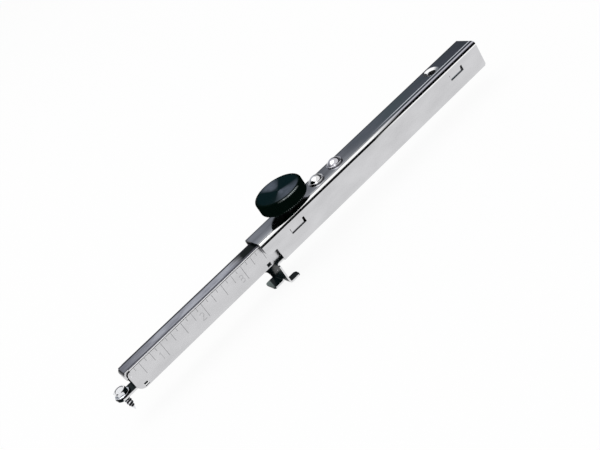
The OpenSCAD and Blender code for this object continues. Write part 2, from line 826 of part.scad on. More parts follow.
// Knob with a knurled rim, a dished face and a hub that hides the bush
module clamp_knob() {
    hub_bottom = collar_top + hub_gap;
    dish_r = (dish_d * dish_d / 4 + dish_depth * dish_depth) / (dish_depth * 2);
    color("black") translate([knob_x, 0, 0]) difference() {
        union() {
            translate([0, 0, knob_bottom]) intersection() {
                linear_extrude(knob_h) knurl_outline(knob_d / 2, knob_d / 2 - knurl_depth);
                chamfered_disc(knob_d / 2 + knurl_depth, knob_h, knob_chamfer + knurl_depth);
            }
            translate([0, 0, hub_bottom])
                cylinder(h = knob_bottom + knob_chamfer - hub_bottom, r = hub_d / 2, $fn = round_fn);
        }
        translate([0, 0, knob_top + dish_r - dish_depth]) sphere(dish_r, $fn = round_fn * 4);
        translate([0, 0, hub_bottom - over])
            cylinder(h = knob_bottom + stud_seat + over - hub_bottom, r = stud_d / 2, $fn = round_fn);
    }
}

// Outline of the rim with its pointed knurl teeth
module knurl_outline(r_out, r_in) {
    half_tooth = 180 / knurl_count;
    polygon([for (i = [0 : knurl_count * 2 - 1])
        let (a = i * half_tooth, r = i % 2 == 0 ? r_out : r_in) [r * cos(a), r * sin(a)]]);
}

// Disc with both edges chamfered
module chamfered_disc(r, h, chamfer) {
    rotate_extrude($fn = round_fn)
        polygon([[0, 0], [r - chamfer, 0], [r, chamfer], [r, h - chamfer], [r - chamfer, h], [0, h]]);
}

// Leaf under the housing's top, with both ends bowed down towards the ruler
module drag_spring() {
    top = under_top;
    mid = top - leaf_t;
    low = ruler_top + leaf_gap;
    x0 = rivet_x - leaf_reach;
    x1 = rivet_x + rivet_pitch + leaf_reach;
    tip = leaf_slope / 4;
    color("lightsteelblue") difference() {
        wall(rivet_y - leaf_w / 2, leaf_w) polygon([
            [x0 + tip, low], [x0 + tip + leaf_slope, mid], [x1 - tip - leaf_slope, mid], [x1 - tip, low],
            [x1, low], [x1, low + leaf_t], [x1 - tip, low + leaf_t], [x1 - tip - leaf_slope, top],
            [x0 + tip + leaf_slope, top], [x0 + tip, low + leaf_t], [x0, low + leaf_t], [x0, low]]);
        for (x = [rivet_x, rivet_x + rivet_pitch])
            translate([x, rivet_y, mid - over])
                cylinder(h = leaf_t + over * 2, r = rivet_d / 2, $fn = round_fn);
    }
}

// Rivet with a domed head on a wider, low shoulder; its tail is set flush with the leaf
module rivet(x) {
    low = under_top - leaf_t;
    color("silver") translate([x, rivet_y, 0]) {
        translate([0, 0, low]) cylinder(h = housing_top - low, r = rivet_d / 2, $fn = round_fn);
        translate([0, 0, housing_top]) {
            ball_cap(rivet_head_d / 2, rivet_shoulder_h);
            ball_cap(rivet_dome_d / 2, rivet_head_h);
        }
    }
}

// Cap of a ball, with the radius of its flat base and its height
module ball_cap(r, h) {
    ball_r = (r * r + h * h) / (h * 2);
    intersection() {
        translate([0, 0, h - ball_r]) sphere(ball_r, $fn = round_fn * 2);
        cylinder(h = h * 2, r = ball_r * 2, $fn = round_fn);
    }
}

module rivet_front() { rivet(rivet_x); }
module rivet_rear() { rivet(rivet_x + rivet_pitch); }

housing();
floor_channel();
edge_guide();
ruler();
tip_holder();
scribing_screw();
clamp_bush();
clamp_shoe();
clamp_stud();
clamp_knob();
drag_spring();
rivet_front();
rivet_rear();
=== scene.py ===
"""Sheet metal scribe: finishes, detailed pieces, a plain studio and the photograph's camera."""
import json
import math

import bmesh
import bpy
from mathutils import Matrix, Vector


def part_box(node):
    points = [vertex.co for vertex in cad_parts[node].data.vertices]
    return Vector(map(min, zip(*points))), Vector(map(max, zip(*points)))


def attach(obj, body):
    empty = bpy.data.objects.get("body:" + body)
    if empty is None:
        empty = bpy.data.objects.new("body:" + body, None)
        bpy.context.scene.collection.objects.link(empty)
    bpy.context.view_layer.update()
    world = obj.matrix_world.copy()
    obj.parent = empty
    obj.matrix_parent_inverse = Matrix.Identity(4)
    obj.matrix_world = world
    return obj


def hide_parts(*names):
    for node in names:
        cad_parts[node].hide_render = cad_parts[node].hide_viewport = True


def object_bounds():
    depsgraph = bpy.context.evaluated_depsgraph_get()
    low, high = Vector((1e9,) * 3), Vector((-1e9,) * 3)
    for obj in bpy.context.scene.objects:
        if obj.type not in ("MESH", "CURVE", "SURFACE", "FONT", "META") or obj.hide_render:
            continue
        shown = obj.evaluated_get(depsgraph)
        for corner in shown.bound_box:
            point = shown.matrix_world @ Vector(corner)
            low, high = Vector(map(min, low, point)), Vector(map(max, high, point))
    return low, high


MM = 0.001

# Camera of the photograph, as a place, a heading, a dip and a roll
CAMERA_AT = Vector((-118.2, -379.8, 216.4)) * MM
CAMERA_HEADING = math.radians(-20.45)
CAMERA_DIP = math.radians(27.08)
CAMERA_ROLL = math.radians(-34.27)
LENS_MM = 56.47
SENSOR_MM = 36.0
CLIP_START = 0.01

# Sizes that the pieces made here share with the model
KNURL_COUNT = 72
KNOB_HEIGHT = 7.1 * MM
HUB_RADIUS = 5.5 * MM
SHANK_RADIUS = 1.6 * MM
THREAD_PITCH = 1.5 * MM
THREAD_RADIUS = 1.65 * MM
ROOT_RADIUS = 1.25 * MM
POINT_LENGTH = 4.2 * MM
HEX_FLATS = 5.5 * MM
HEX_TURN = math.radians(40)
FLANGE_HEIGHT = 0.95 * MM
RULER_FACE_Y = -4.7 * MM
BEND_RADIUS = 2.2 * MM
HANG_IN = 26.4 * MM
HANG_Y = 0.8 * MM
GUIDE_HOLE = Vector((-2.7, 1.3)) * MM
FOOT_TOP = -5.4 * MM

# How CAD nodes are dressed: what is welded, flattened, rounded and kept sharp
WELD_DISTANCE = 0.5e-6
FLAT_ANGLE = math.radians(0.5)
CORNER_ANGLE = math.radians(40)
SHARP_ANGLE = math.radians(35)
SQUARE = 0.9

# Steps of the round forms
LATHE_SIDES = 96
TOOTH_SIDES = 8
DISH_STEPS = 9
HEX_SIDES = 72
THREAD_SIDES = 40
THREAD_STEPS = 16

# Heights of the finest marks, which are bumps, and the grain of noise
NOISE_ROUGHNESS = 0.55
LONG_MARKS = 0.0000012
WAVES = 0.00004
TURNED_RINGS = 0.000004
SPECKS = 0.000002
SPECK_SCALE = 2500
# The ring texture repeats every 0.44 mm at this scale
RING_SCALE = 1000 / (0.45 * math.pi)

# Colours of the sheets and of the small metal pieces
PLATE = (0.66, 0.66, 0.675)
CHANNEL = (0.60, 0.60, 0.61)
# A dark sheet colour, also used as painted shade on the housing's cut end
DARK_SHEET_COLOUR = (0.006, 0.014, 0.015)
CUT_EDGE = (0.80, 0.80, 0.81)
ZINC = (0.82, 0.83, 0.86)
FRONT_RIVET = (0.80, 0.80, 0.81)
# The rear rivet is the same metal as the front one, made darker as painted shade
REAR_RIVET_SHADED = (0.60, 0.59, 0.63)
SMALL_PIECES = (
    # The bush is near black as painted shade under the knob
    ("clamp_bush", (0.02, 0.02, 0.022), 0.3),
    ("clamp_stud", (0.5, 0.5, 0.51), 0.3),
    ("clamp_shoe", (0.75, 0.58, 0.28), 0.3),
    ("drag_spring", (0.4, 0.41, 0.45), 0.25))

# Colours painted on the housing, placed where the photograph shows its reflections
TOP_GREY = (0.30, 0.305, 0.33)
TOP_CLOUD = (0.16, 0.165, 0.185)
FAR_TOP = (0.22, 0.23, 0.29)
FAR_CLOUD = (0.15, 0.20, 0.225)
FAR_LINE = (0.66, 0.69, 0.74)
DIMPLE_BACK = (0.97, 0.97, 0.98)
DIMPLE_FRONT = (0.30, 0.32, 0.33)
BACK_BEND = (0.03, 0.035, 0.04)
FAR_TOP_X = (60 * MM, 95 * MM)
FAR_BANDS_X = (78 * MM, 100 * MM)
# Painted reflections as bands along the front bend: from and to an angle in degrees, a softness and a
# colour
NEAR_BANDS = (
    (1, 90, 1, (0.97, 0.97, 0.97)),
    (10, 21, 2, (0.05, 0.05, 0.06)),
    (69, 88, 1.5, (0.006, 0.006, 0.007)))
FAR_BANDS = (
    (1, 17, 1, (0.04, 0.044, 0.06)),
    (17, 39, 2, (0.46, 0.46, 0.51)),
    (38, 48, 2, (0.08, 0.08, 0.10)),
    (47, 70, 1.5, (0.003, 0.003, 0.004)),
    (70, 91, 1, (0.98, 0.98, 0.98)))

# Colours painted on the ruler: its engraving and flap, and painted reflections and a painted shadow on its
# top and front bend
ENGRAVING = (0.20, 0.20, 0.21)
RULER_TOP = (0.56, 0.56, 0.60)
RULER_CLOUD = (0.36, 0.36, 0.40)
RULER_TIP = (0.12, 0.12, 0.15)
RULER_SHADE = (0.002, 0.004, 0.004)
RULER_FRONT_DARK_REFLECTION = (0.07, 0.07, 0.085)
RULER_BACK_DARK_REFLECTION = (0.015, 0.015, 0.02)
FLAP = (0.46, 0.46, 0.48)
FLAP_EDGE = (0.02, 0.02, 0.025)
# Painted reflections as bands along the ruler's front bend, a bright one and a dark one, by how far the
# surface faces along Y
RULER_REFLECTION_BANDS = (
    (-0.97, -0.6, 0.03, (0.95, 0.95, 0.96)),
    (-0.62, -0.08, 0.03, (0.05, 0.05, 0.06)))

# Colours painted on the guide, the knob and the screw; the knob's wedges and tooth tips are painted
# highlights, and the screw's marks are painted shade, a painted dark reflection and a painted highlight
WORN_FOOT = (0.17, 0.21, 0.20)
KNOB_LOW = (0.0002, 0.0028, 0.0018)
KNOB_HIGH = (0.0008, 0.0042, 0.003)
KNOB_FACE = (0.001, 0.0085, 0.0105)
KNOB_WEDGE_HIGHLIGHT = (0.086, 0.102, 0.130)
TEETH_GLINT = (0.50, 0.56, 0.56)
GROOVE_SHADE = (0.01, 0.01, 0.012)
FLANGE_RIM_REFLECTION = (0.012, 0.012, 0.014)
HEX_LINE_SHADE = (0.05, 0.05, 0.055)
HEX_TOP_HIGHLIGHT = (0.95, 0.95, 0.96)

# Studio: levels of the world and floor, a ring of flags and two lamps
WORLD_LEVEL = 0.65
FLOOR_WHITE = 0.92
FLOOR_GREY = 0.9
FLOOR_HALF = 3.0
FLOOR_GAP = 0.02 * MM
FLAG_RADIUS = 1.6
FLAG_HEIGHTS = (-0.02, 1.25)
COOL_TINT = (0.94, 0.98, 1.05)
# Greys round the ring, each a share of a turn from -X through -Y, +X and +Y, and its grey
FLAG_GREYS = (
    (0.0, 0.30), (0.12, 0.10), (0.25, 0.02), (0.38, 0.02), (0.5, 0.10), (0.62, 0.05),
    (0.66, 0.30), (0.70, 0.60), (0.735, 0.62), (0.80, 0.40), (0.90, 0.20), (1.0, 0.30))
# Lamps, each a name, a place, a size and a power
LAMPS = (
    ("overhead", (-0.3, 0.3, 1.5), 1.2, 9),
    ("front_fill", (-0.9, -1.2, 0.9), 0.8, 4))

# Sockets of the Mix node when it mixes colours
MIX_FACTOR = 0
MIX_FIRST = 6
MIX_SECOND = 7
MIX_RESULT = 2

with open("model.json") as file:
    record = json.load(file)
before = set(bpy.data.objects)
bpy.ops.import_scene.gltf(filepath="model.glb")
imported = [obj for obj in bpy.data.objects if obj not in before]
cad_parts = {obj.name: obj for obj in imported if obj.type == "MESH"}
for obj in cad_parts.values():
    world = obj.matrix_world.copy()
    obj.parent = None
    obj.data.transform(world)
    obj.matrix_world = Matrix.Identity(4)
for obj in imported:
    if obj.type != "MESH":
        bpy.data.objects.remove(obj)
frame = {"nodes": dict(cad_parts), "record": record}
cad_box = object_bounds()
BODY_OF = {node: body for body, nodes in frame["record"]["behaviour"]["bodies"].items() for node in nodes}


def corners(node):
    """Lowest and highest corner of a node's box."""
    low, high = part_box(node)
    return Vector(low), Vector(high)


def add_camera():
    """Places the camera by its heading, dip and roll."""
    data = bpy.data.cameras.new("photo_camera")
    data.lens = LENS_MM
    data.sensor_width = SENSOR_MM
    data.clip_start = CLIP_START
    camera = bpy.data.objects.new("photo_camera", data)
    bpy.context.scene.collection.objects.link(camera)
    turn = Matrix.Rotation(CAMERA_HEADING, 4, "Z")
    dip = Matrix.Rotation(math.pi / 2 - CAMERA_DIP, 4, "X")
    roll = Matrix.Rotation(CAMERA_ROLL, 4, "Z")
    camera.matrix_world = Matrix.Translation(CAMERA_AT) @ turn @ dip @ roll
    bpy.context.scene.camera = camera


def principled(tree):
    """The Principled shader of a material's node tree."""
    return tree.nodes["Principled BSDF"]


def new_material(name):
    """A material with its node tree and its Principled shader."""
    material = bpy.data.materials.new(name)
    material.use_nodes = True
    tree = material.node_tree
    return material, tree, principled(tree)


def put(tree, kind, **values):
    """Adds a node and sets its properties."""
    node = tree.nodes.new(kind)
    for key, value in values.items():
        setattr(node, key, value)
    return node


def calculate(tree, operation, *values):
    """Works on one or two values, each a number or a socket."""
    node = put(tree, "ShaderNodeMath", operation=operation)
    for socket, value in zip(node.inputs, values):
        if isinstance(value, float):
            socket.default_value = value
        else:
            tree.links.new(value, socket)
    return node.outputs[0]


def times(tree, first, *others):
    """Multiplies masks or other values."""
    product = first
    for other in others:
        product = calculate(tree, "MULTIPLY", product, other)
    return product


def combine(tree, operation, first, second=None, output="Vector"):
    """Works on a vector's socket and, where there is a second, three numbers."""
    node = put(tree, "ShaderNodeVectorMath", operation=operation)
    tree.links.new(first, node.inputs[0])
    if second is not None:
        node.inputs[1].default_value = second
    return node.outputs[output]


def object_place(tree):
    """The surface's place in the object, in metres."""
    return put(tree, "ShaderNodeTexCoord").outputs["Object"]


def noise(tree, scale, detail=4.0):
    """Noise whose grain is 1/scale metres along each axis."""
    node = put(tree, "ShaderNodeTexNoise")
    node.inputs["Scale"].default_value = 1.0
    node.inputs["Detail"].default_value = detail
    node.inputs["Roughness"].default_value = NOISE_ROUGHNESS
    tree.links.new(combine(tree, "MULTIPLY", object_place(tree), scale), node.inputs["Vector"])
    return node.outputs["Fac"]


def spread(tree, value, low, high, start=0.3, end=0.7):
    """Maps one range, by default the usual one of noise, onto another and holds it there."""
    node = put(tree, "ShaderNodeMapRange")
    node.inputs["From Min"].default_value = start
    node.inputs["From Max"].default_value = end
    node.inputs["To Min"].default_value = low
    node.inputs["To Max"].default_value = high
    tree.links.new(value, node.inputs["Value"])
    return node.outputs["Result"]


def rise(tree, value, start, end):
    """0 up to the start and 1 from the end."""
    return spread(tree, value, 0.0, 1.0, start, end)


def fall(tree, value, start, end):
    """1 up to the start and 0 from the end."""
    return spread(tree, value, 1.0, 0.0, start, end)


def fade(tree, mask, low, high):
    """One value where a mask is 0 and another where it is 1."""
    return spread(tree, mask, low, high, 0.0, 1.0)


def between(tree, value, low, high, soft):
    """1 between two values and 0 outside them, with soft edges."""
    rising = rise(tree, value, low - soft, low + soft)
    falling = fall(tree, value, high - soft, high + soft)
    return times(tree, rising, falling)


def mix_colour(tree, factor, first, second):
    """Mixes two colours, each a tuple or a socket."""
    node = put(tree, "ShaderNodeMix", data_type="RGBA")
    for index, colour in ((MIX_FIRST, first), (MIX_SECOND, second)):
        if isinstance(colour, tuple):
            node.inputs[index].default_value = (*colour, 1.0)
        else:
            tree.links.new(colour, node.inputs[index])
    tree.links.new(factor, node.inputs[MIX_FACTOR])
    return node.outputs[MIX_RESULT]


def bump(tree, height, distance, under=None):
    """A bump of the given height in metres."""
    node = put(tree, "ShaderNodeBump")
    node.inputs["Distance"].default_value = distance
    tree.links.new(height, node.inputs["Height"])
    if under is not None:
        tree.links.new(under, node.inputs["Normal"])
    return node.outputs["Normal"]


def split(tree, vector):
    """The X, Y and Z of a vector."""
    node = put(tree, "ShaderNodeSeparateXYZ")
    tree.links.new(vector, node.inputs["Vector"])
    return node.outputs


def surface_place(tree):
    """The surface's X, Y and Z in the object."""
    return split(tree, object_place(tree))


def surface_facing(tree):
    """The X, Y and Z of the direction that the surface faces."""
    return split(tree, put(tree, "ShaderNodeNewGeometry").outputs["Normal"])


def level_offset(tree, axis):
    """The way from a vertical axis to the surface, without its height."""
    offset = combine(tree, "SUBTRACT", object_place(tree), axis)
    return combine(tree, "MULTIPLY", offset, (1, 1, 0))


def axis_distance(tree, axis):
    """The surface's distance from a vertical axis."""
    return combine(tree, "LENGTH", level_offset(tree, axis), output="Value")


def toward(tree, axis, degrees):
    """How closely a point lies at a heading from a vertical axis: 1 on it, 0 square to it."""
    heading = math.radians(degrees)
    unit = combine(tree, "NORMALIZE", level_offset(tree, axis))
    return combine(tree, "DOT_PRODUCT", unit, (math.cos(heading), math.sin(heading), 0), "Value")


def bend_angle(tree, at, centre_y, centre_z):
    """Degrees round a front bend, from 0 at the top to 90 at the front wall."""
    forward = calculate(tree, "SUBTRACT", centre_y, at["Y"])
    upward = calculate(tree, "SUBTRACT", at["Z"], centre_z)
    return calculate(tree, "DEGREES", calculate(tree, "ARCTAN2", forward, upward))


def tint(tree, factor, colour):
    """Mixes a colour into a material's base colour where the factor is 1."""
    base = principled(tree).inputs["Base Color"]
    plain = base.links[0].from_socket
    tree.links.new(mix_colour(tree, factor, plain, colour), base)


def bands(tree, value, zones, only):
    """Paints zones of a value, each a low, a high, a softness and a colour, where a mask is 1."""
    for low, high, soft, colour in zones:
        tint(tree, times(tree, between(tree, value, low, high, soft), only), colour)


def less_metallic(tree, mask, left):
    """Leaves only so much of the metallic look where a mask is 1."""
    tree.links.new(fade(tree, mask, 1.0, left), principled(tree).inputs["Metallic"])


def sheet_metal(name, colour, dark_share, rough_low, rough_high, scratch=0.5):
    """Plated or rolled sheet: faint stains, long rolling marks and fine scratches."""
    material, tree, shader = new_material(name)
    shader.inputs["Metallic"].default_value = 1.0
    stain = noise(tree, (60, 160, 160))
    rolled = noise(tree, (40, 9000, 9000), detail=3.0)
    dark = tuple(c * dark_share for c in colour)
    base = mix_colour(tree, spread(tree, stain, 0.0, 1.0), dark, colour)
    base = mix_colour(tree, spread(tree, rolled, 0.0, 0.25), base, dark)
    tree.links.new(base, shader.inputs["Base Color"])
    tree.links.new(spread(tree, stain, rough_high, rough_low), shader.inputs["Roughness"])
    long_marks = bump(tree, rolled, LONG_MARKS * scratch)
    waves = bump(tree, noise(tree, (35, 90, 90), detail=2.0), WAVES * scratch, under=long_marks)
    tree.links.new(waves, shader.inputs["Normal"])
    return material


def paint_top(tree, at, upward, low):
    """Painted reflections on the housing's top: greys, clouded, stronger away from the front, darker in
    the far half.
    """
    cloud = rise(tree, noise(tree, (45, 170, 100), detail=5.0), 0.35, 0.62)
    forward = fall(tree, at["Y"], low.y + 2.0 * MM, 0.0)
    tint(tree, times(tree, upward, fade(tree, forward, 1.0, 0.25)), TOP_GREY)
    tint(tree, times(tree, upward, cloud, fade(tree, forward, 1.0, 0.3)), TOP_CLOUD)
    far = times(tree, upward, rise(tree, at["X"], *FAR_TOP_X))
    tint(tree, far, FAR_TOP)
    tint(tree, times(tree, far, cloud), FAR_CLOUD)


def paint_bend(tree, at, upward, low, high):
    """Painted reflections: bright and dark bands along the housing's front bend, with a fine pale line by
    the far ones.
    """
    angle = bend_angle(tree, at, low.y + BEND_RADIUS, high.z - BEND_RADIUS)
    far = rise(tree, at["X"], *FAR_BANDS_X)
    bands(tree, angle, NEAR_BANDS, fade(tree, far, 1.0, 0.0))
    line = between(tree, at["Y"], low.y + 3.3 * MM, low.y + 4.0 * MM, 0.1 * MM)
    line = times(tree, upward, line, far)
    tint(tree, line, FAR_LINE)
    less_metallic(tree, line, 0.0)
    bands(tree, angle, FAR_BANDS, far)


def paint_dimple(tree, at, facing, high):
    """Painted reflections: white at the back of the hang hole's dimple and grey at its front."""
    hole = Vector((high.x - HANG_IN, HANG_Y, 0))
    dimple = times(tree, fall(tree, axis_distance(tree, hole), 4.6 * MM, 4.8 * MM),
                   rise(tree, at["Z"], high.z - 1.5 * MM, high.z - 1.3 * MM))
    tint(tree, times(tree, dimple, fall(tree, facing["Y"], -0.12, -0.04)), DIMPLE_BACK)
    tint(tree, times(tree, dimple, rise(tree, facing["Y"], 0.04, 0.12)), DIMPLE_FRONT)


def housing_metal(name, low, high):
    """The housing's bright plate with painted reflections on its top, bend, hang hole and back bend."""
    material = sheet_metal(name, PLATE, dark_share=0.86, rough_low=0.06, rough_high=0.12)
    tree = material.node_tree
    facing = surface_facing(tree)
    at = surface_place(tree)
    upward = rise(tree, facing["Z"], 0.97, 0.995)
    paint_top(tree, at, upward, low)
    paint_bend(tree, at, upward, low, high)
    paint_dimple(tree, at, facing, high)
    # A painted dark reflection along the back bend
    back_bend = times(tree, rise(tree, at["Y"], high.y - 2.7 * MM, high.y - 2.4 * MM),
                      rise(tree, at["Z"], high.z - 1.2 * MM, high.z - 1.0 * MM))
    tint(tree, back_bend, BACK_BEND)
    return material


def paint_ruler_top(tree, at, facing, face_y, tip_x):
    """The ruler's top, painted as its reflections: clouded, darker at the tip, with a painted shadow in
    black beside the housing and a painted dark line at each bend.
    """
    upward = rise(tree, facing["Z"], 0.85, 0.95)
    wander = spread(tree, noise(tree, (60, 260, 260)), -2 * MM, 2 * MM)
    shade = rise(tree, calculate(tree, "ADD", at["X"], wander), -17 * MM, -9 * MM)
    cloud = rise(tree, noise(tree, (110, 300, 300), detail=5.0), 0.40, 0.60)
    tint(tree, upward, RULER_TOP)
    tint(tree, times(tree, cloud, upward), RULER_CLOUD)
    tip = spread(tree, at["X"], 0.6, 0.0, tip_x + 6 * MM, tip_x + 24 * MM)
    tint(tree, times(tree, tip, upward), RULER_TIP)
    # A painted shadow in black beside the housing
    shade = times(tree, shade, upward)
    tint(tree, shade, RULER_SHADE)
    less_metallic(tree, shade, 0.0)
    # Painted dark reflections beside each bend
    for low, high, colour in ((face_y, face_y + 1.75 * MM, RULER_FRONT_DARK_REFLECTION),
                              (-face_y - 2.1 * MM, -face_y, RULER_BACK_DARK_REFLECTION)):
        tint(tree, times(tree, between(tree, at["Y"], low, high, 0.15 * MM), upward), colour)


def paint_flap(tree, at, facing, face_y, top_z, tip_x):
    """The grey flap at the ruler's tip, with its dark lower edge, back edge and bend."""
    flap = times(tree, fall(tree, facing["X"], -0.5, -0.3),
                 fall(tree, at["X"], tip_x + 2.2 * MM, tip_x + 2.6 * MM))
    tint(tree, flap, FLAP)
    for edge in (fall(tree, at["Z"], top_z - 3.5 * MM, top_z - 3.2 * MM),
                 rise(tree, at["Y"], -face_y - 2.6 * MM, -face_y - 2.3 * MM),
                 rise(tree, at["Z"], top_z - 1.9 * MM, top_z - 1.6 * MM)):
        tint(tree, times(tree, flap, edge), FLAP_EDGE)


def engraved_metal(name, face_y, low, high):
    """The ruler's satin sheet: dark engraving, painted reflections along its front bend, a top painted
    with reflections and a shadow, and a painted flap.
    """
    material = sheet_metal(name, PLATE, dark_share=0.92, rough_low=0.20, rough_high=0.30, scratch=0.6)
    tree = material.node_tree
    principled(tree).inputs["Specular IOR Level"].default_value = 0.03
    facing = surface_facing(tree)
    at = surface_place(tree)
    engraved = between(tree, at["Y"], face_y + 0.065 * MM, face_y + 0.14 * MM, 0.025 * MM)
    front = fall(tree, facing["Y"], -0.95, -0.8)
    tint(tree, times(tree, engraved, front), ENGRAVING)
    # Painted reflections on the front bend: a bright band and a dark one
    bands(tree, facing["Y"], RULER_REFLECTION_BANDS, rise(tree, at["Z"], high.z - 1.2 * MM, high.z - 1.0 * MM))
    paint_ruler_top(tree, at, facing, face_y, low.x)
    paint_flap(tree, at, facing, face_y, high.z, low.x)
    return material


def dark_sheet(name):
    """Dark sheet with a faint grain and little sheen; on the housing's cut end it is painted shade."""
    material = sheet_metal(name, DARK_SHEET_COLOUR, dark_share=0.5, rough_low=0.20, rough_high=0.32, scratch=0.8)
    shader = principled(material.node_tree)
    shader.inputs["Metallic"].default_value = 0.0
    shader.inputs["Specular IOR Level"].default_value = 0.06
    return material


def guide_metal(name):
    """The guide's dark sheet, paler from wear at the outer end of its back foot."""
    material = dark_sheet(name)
    tree = material.node_tree
    at = surface_place(tree)
    top = times(tree, rise(tree, surface_facing(tree)["Z"], 0.8, 0.9),
                between(tree, at["Z"], FOOT_TOP - 0.3 * MM, FOOT_TOP + 0.3 * MM, 0.05 * MM))
    slant = calculate(tree, "MULTIPLY", at["Y"], 0.24)
    outer = fall(tree, calculate(tree, "SUBTRACT", at["X"], slant), -5.2 * MM, -4.8 * MM)
    tint(tree, times(tree, top, outer), WORN_FOOT)
    return material


def knob_painted_highlights(tree, centre, out):
    """Painted highlights: two paler wedges of the turned face, a broad one at the front and a narrow one
    at the back.
    """
    front = times(tree, rise(tree, toward(tree, centre, 280), 0.56, 0.97),
                  spread(tree, out, 1.0, 0.82, 3 * MM, 10 * MM))
    back = times(tree, rise(tree, toward(tree, centre, 83), 0.83, 0.985),
                 spread(tree, out, 0.1, 1.0, 2.5 * MM, 5 * MM))
    return calculate(tree, "MAXIMUM", front, back)


def front_teeth_glints(tree, centre, radius, top_z):
    """Painted highlights on the teeth at the front, given as bare metal: at their upper tips and, fainter,
    at their lower tips.
    """
    z = surface_place(tree)["Z"]
    out = axis_distance(tree, centre)
    patchy = spread(tree, noise(tree, (250, 250, 250)), 0.3, 1.0, 0.40, 0.55)
    tips = times(tree, rise(tree, out, radius - 0.9 * MM, radius - 0.7 * MM),
                 between(tree, z, top_z - 0.75 * MM, top_z - 0.25 * MM, 0.08 * MM))
    heels = times(tree, rise(tree, out, radius - 0.22 * MM, radius - 0.12 * MM),
                  between(tree, z, top_z - 6.35 * MM, top_z - 6.05 * MM, 0.06 * MM))
    teeth_glints = calculate(tree, "MAXIMUM", tips, fade(tree, heels, 0.0, 0.5))
    return times(tree, teeth_glints, patchy, rise(tree, toward(tree, centre, 266), 0.84, 0.97))


def anodised(name, low, high):
    """Black anodised knob: a turned face with fine rings and painted highlight wedges, and bare metal on
    the front teeth as painted highlights.
    """
    material, tree, shader = new_material(name)
    centre = (low + high) / 2
    radius = (high.x - low.x) / 2
    grain = noise(tree, (900, 900, 900))
    base = mix_colour(tree, spread(tree, grain, 0.0, 1.0), KNOB_LOW, KNOB_HIGH)
    tree.links.new(base, shader.inputs["Base Color"])
    shader.inputs["Specular IOR Level"].default_value = 0.01
    shader.inputs["Anisotropic"].default_value = 0.95
    tree.links.new(spread(tree, grain, 0.36, 0.44), shader.inputs["Roughness"])
    tangent = put(tree, "ShaderNodeTangent", direction_type="RADIAL", axis="Z")
    tree.links.new(tangent.outputs["Tangent"], shader.inputs["Tangent"])
    rings = put(tree, "ShaderNodeTexWave", wave_type="RINGS", rings_direction="Z")
    rings.inputs["Scale"].default_value = 1.0
    scaled = combine(tree, "MULTIPLY", level_offset(tree, centre), (RING_SCALE, RING_SCALE, RING_SCALE))
    tree.links.new(scaled, rings.inputs["Vector"])
    tree.links.new(bump(tree, rings.outputs["Fac"], TURNED_RINGS), shader.inputs["Normal"])
    out = axis_distance(tree, centre)
    face = times(tree, fall(tree, out, radius - 2.1 * MM, radius - 0.9 * MM),
                 rise(tree, surface_place(tree)["Z"], high.z - 1.1 * MM, high.z - 0.9 * MM))
    tint(tree, face, KNOB_FACE)
    mottle = spread(tree, noise(tree, (420, 420, 420)), 0.72, 1.0, 0.35, 0.6)
    # Painted highlight wedges on the turned face
    tint(tree, times(tree, face, knob_painted_highlights(tree, centre, out), mottle), KNOB_WEDGE_HIGHLIGHT)
    # Painted highlights on the front teeth, given as bare metal
    teeth_glints = front_teeth_glints(tree, centre, radius, high.z)
    tint(tree, teeth_glints, TEETH_GLINT)
    tree.links.new(teeth_glints, shader.inputs["Metallic"])
    return material


def plain_metal(name, colour, rough):
    """Small turned or drawn metal pieces."""
    material, tree, shader = new_material(name)
    shader.inputs["Metallic"].default_value = 1.0
    speck = noise(tree, (SPECK_SCALE, SPECK_SCALE, SPECK_SCALE))
    darker = tuple(c * 0.85 for c in colour)
    base = mix_colour(tree, spread(tree, speck, 0.0, 1.0), darker, colour)
    tree.links.new(base, shader.inputs["Base Color"])
    tree.links.new(spread(tree, speck, rough * 0.8, rough * 1.25), shader.inputs["Roughness"])
    tree.links.new(bump(tree, speck, SPECKS), shader.inputs["Normal"])
    return material


def screw_metal(name, axis, seat, top_z):
    """Bright zinc with painted shade in the thread grooves, a painted dark reflection on the flange rim, a
    painted shade line round the hex's top and a painted highlight on its flat top.
    """
    material = plain_metal(name, ZINC, rough=0.10)
    tree = material.node_tree
    at = surface_place(tree)
    facing = surface_facing(tree)
    # Painted shade in the thread grooves, between the point and the seat
    below = fall(tree, at["Z"], seat - 1.1 * MM, seat - 1.0 * MM)
    above_point = rise(tree, at["Z"], seat - 7.6 * MM, seat - 7.2 * MM)
    out = axis_distance(tree, axis)
    groove = fall(tree, out, ROOT_RADIUS + 0.08 * MM, ROOT_RADIUS + 0.18 * MM)
    tint(tree, times(tree, below, groove, above_point), GROOVE_SHADE)
    # A painted dark reflection on the flange rim
    flange = between(tree, at["Z"], seat - 0.1 * MM, seat + 0.75 * FLANGE_HEIGHT, 0.05 * MM)
    tint(tree, times(tree, flange, fall(tree, facing["Z"], 0.75, 0.85)), FLANGE_RIM_REFLECTION)
    # A painted shade line round the hex's top
    head = rise(tree, at["Z"], top_z - 0.62 * MM, top_z - 0.56 * MM)
    tint(tree, times(tree, head, between(tree, facing["Z"], 0.05, 0.95, 0.04)), HEX_LINE_SHADE)
    # A painted highlight on the hex's flat top, made less metallic
    flat_top = times(tree, head, rise(tree, facing["Z"], 0.94, 0.98))
    tint(tree, flat_top, HEX_TOP_HIGHLIGHT)
    less_metallic(tree, flat_top, 0.25)
    return material


def add_object(name, bm):
    """Turns a bmesh into an object of the scene."""
    mesh = bpy.data.meshes.new(name)
    bm.to_mesh(mesh)
    bm.free()
    thing = bpy.data.objects.new(name, mesh)
    bpy.context.scene.collection.objects.link(thing)
    return thing


